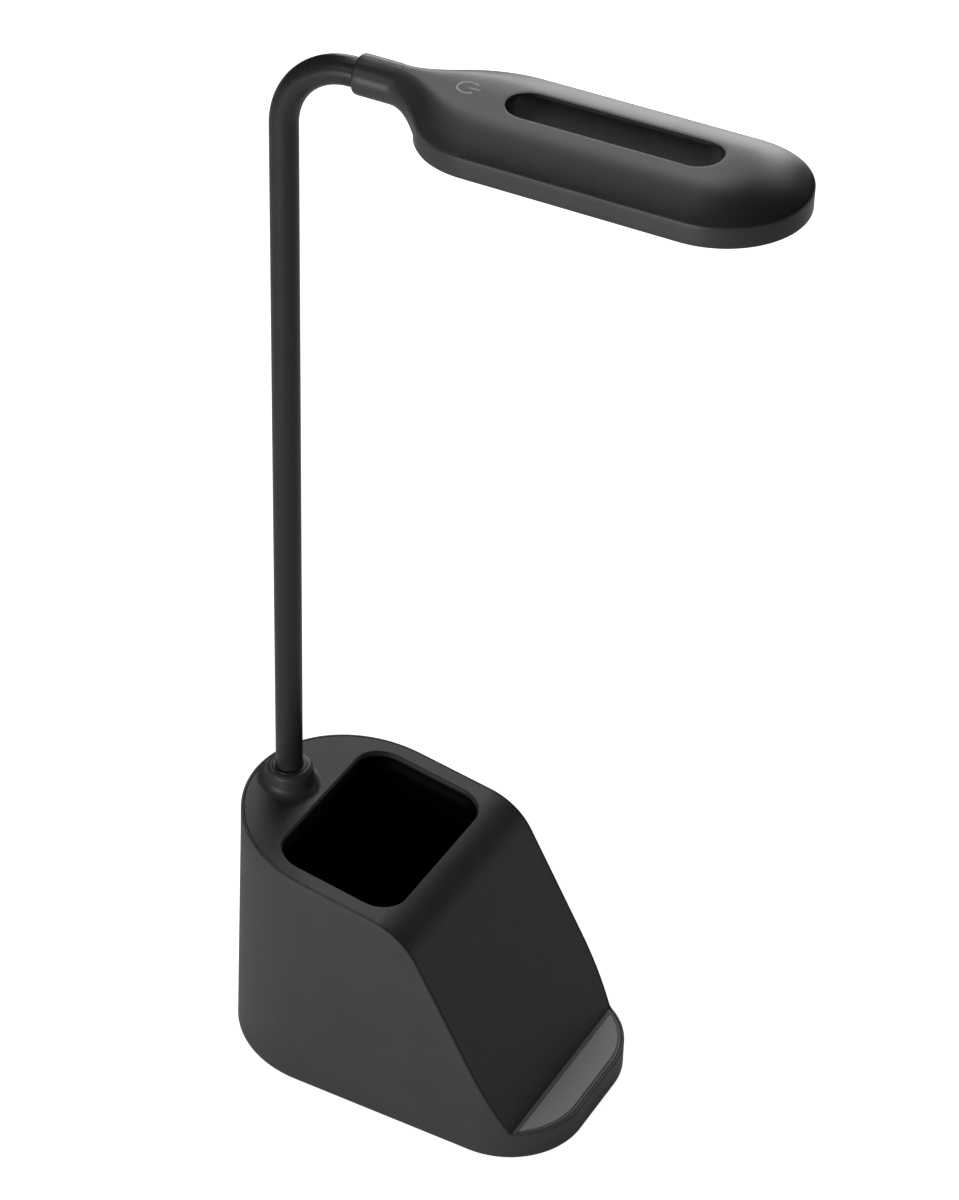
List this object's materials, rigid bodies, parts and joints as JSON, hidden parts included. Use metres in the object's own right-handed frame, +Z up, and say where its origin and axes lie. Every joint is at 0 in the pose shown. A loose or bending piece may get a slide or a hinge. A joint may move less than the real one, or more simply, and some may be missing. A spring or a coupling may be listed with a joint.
{
  "type": "desk lamp with pen cup and phone rest base",
  "caption": "Desk lamp: bendable neck with a long slotted light head, on a base with a pen cup and a sloping phone rest.",
  "frame": {"origin": "on the table, under the middle of the base", "axes": "+X to the front, where the light head points and the phone stands; +Z up"},
  "size_m": [0.2051, 0.09, 0.4187],
  "materials": {
    "housing": "fine matte, moulded",
    "cover": "fine matte, moulded",
    "cup": "matte",
    "grey_silicone": "soft matte",
    "inner_plastic": "matte",
    "foot_rubber": "soft matte",
    "screw_steel": "zinc plated",
    "plain_steel": "plain",
    "bright_steel": "bright",
    "cell_sleeve": "shrink film",
    "circuit_board": "solder mask",
    "ring_plastic": "satin",
    "brass_nut": "turned",
    "symbol_print": "pad printed",
    "head_plastic": "fine matte, moulded",
    "milky_plastic": "milky, light spreading",
    "led_yellow": "phosphor",
    "copper": "foil",
    "neck_silicone": "satin"
  },
  "bodies": {
    "base": {"outer_shell": "housing", "top_cover": "cover", "ledge_pad": "grey_silicone", "pen_cup": "cup", "bottom_plate": "inner_plastic", "base_pad": "foot_rubber", "bottom_screws": "screw_steel", "counterweight": "plain_steel", "battery_cell": "cell_sleeve", "battery_cradle": "inner_plastic", "control_board": "circuit_board", "board_screws": "screw_steel", "charge_socket": "bright_steel", "neck_ring": "ring_plastic", "neck_clamp": "inner_plastic", "neck_nut": "brass_nut", "neck_core_root": "plain_steel", "neck_sleeve_root": "neck_silicone"},
    "neck_1": {"neck_core_1": "plain_steel", "neck_sleeve_1": "neck_silicone"},
    "neck_2": {"neck_core_2": "plain_steel", "neck_sleeve_2": "neck_silicone"},
    "neck_3": {"neck_core_3": "plain_steel", "neck_sleeve_3": "neck_silicone"},
    "neck_4": {"neck_core_4": "plain_steel", "neck_sleeve_4": "neck_silicone"},
    "neck_5": {"neck_core_5": "plain_steel", "neck_sleeve_5": "neck_silicone"},
    "neck_6": {"neck_core_6": "plain_steel", "neck_sleeve_6": "neck_silicone"},
    "bend_1": {"bend_core_1": "plain_steel", "bend_sleeve_1": "neck_silicone"},
    "bend_2": {"bend_core_2": "plain_steel", "bend_sleeve_2": "neck_silicone"},
    "head": {"neck_core_head": "plain_steel", "neck_sleeve_head": "neck_silicone", "touch_symbol": "symbol_print", "head_shell": "head_plastic", "head_frame": "head_plastic", "diffuser": "milky_plastic", "led_board": "circuit_board", "led_chips": "led_yellow", "head_screws": "screw_steel", "touch_electrode": "copper"}
  },
  "joints": [
    {"name": "neck_fore_1", "type": "hinge", "parent": "base", "child": "neck_1", "pos_m": [-0.059, 0, 0.1288], "axis": [0, 1, 0], "range_deg": [-16, 16]},
    {"name": "neck_side_1", "type": "hinge", "parent": "neck_1", "child": "neck_2", "pos_m": [-0.059, 0, 0.1728], "axis": [1, 0, 0], "range_deg": [-14, 14]},
    {"name": "neck_fore_2", "type": "hinge", "parent": "neck_2", "child": "neck_3", "pos_m": [-0.059, 0, 0.2168], "axis": [0, 1, 0], "range_deg": [-16, 16]},
    {"name": "neck_side_2", "type": "hinge", "parent": "neck_3", "child": "neck_4", "pos_m": [-0.059, 0, 0.2608], "axis": [1, 0, 0], "range_deg": [-14, 14]},
    {"name": "neck_fore_3", "type": "hinge", "parent": "neck_4", "child": "neck_5", "pos_m": [-0.059, 0, 0.3048], "axis": [0, 1, 0], "range_deg": [-16, 16]},
    {"name": "neck_side_3", "type": "hinge", "parent": "neck_5", "child": "neck_6", "pos_m": [-0.059, 0, 0.3488], "axis": [1, 0, 0], "range_deg": [-14, 14]},
    {"name": "bend_1_tilt", "type": "hinge", "parent": "neck_6", "child": "bend_1", "pos_m": [-0.059, 0, 0.3851], "axis": [0, 1, 0], "range_deg": [-15, 12]},
    {"name": "bend_2_tilt", "type": "hinge", "parent": "bend_1", "child": "bend_2", "pos_m": [-0.05278, 0, 0.4022], "axis": [0, 1, 0], "range_deg": [-15, 12]},
    {"name": "head_tilt", "type": "hinge", "parent": "bend_2", "child": "head", "pos_m": [-0.03702, 0, 0.4113], "axis": [0, 1, 0], "range_deg": [-15, 12]}
  ],
  "couplings": [
    {"joint": "neck_fore_2", "follows": "neck_fore_1", "ratio": 1},
    {"joint": "neck_fore_3", "follows": "neck_fore_1", "ratio": 1},
    {"joint": "neck_side_2", "follows": "neck_side_1", "ratio": 1},
    {"joint": "neck_side_3", "follows": "neck_side_1", "ratio": 1},
    {"joint": "bend_2_tilt", "follows": "bend_1_tilt", "ratio": 1},
    {"joint": "head_tilt", "follows": "bend_1_tilt", "ratio": 1}
  ]
}
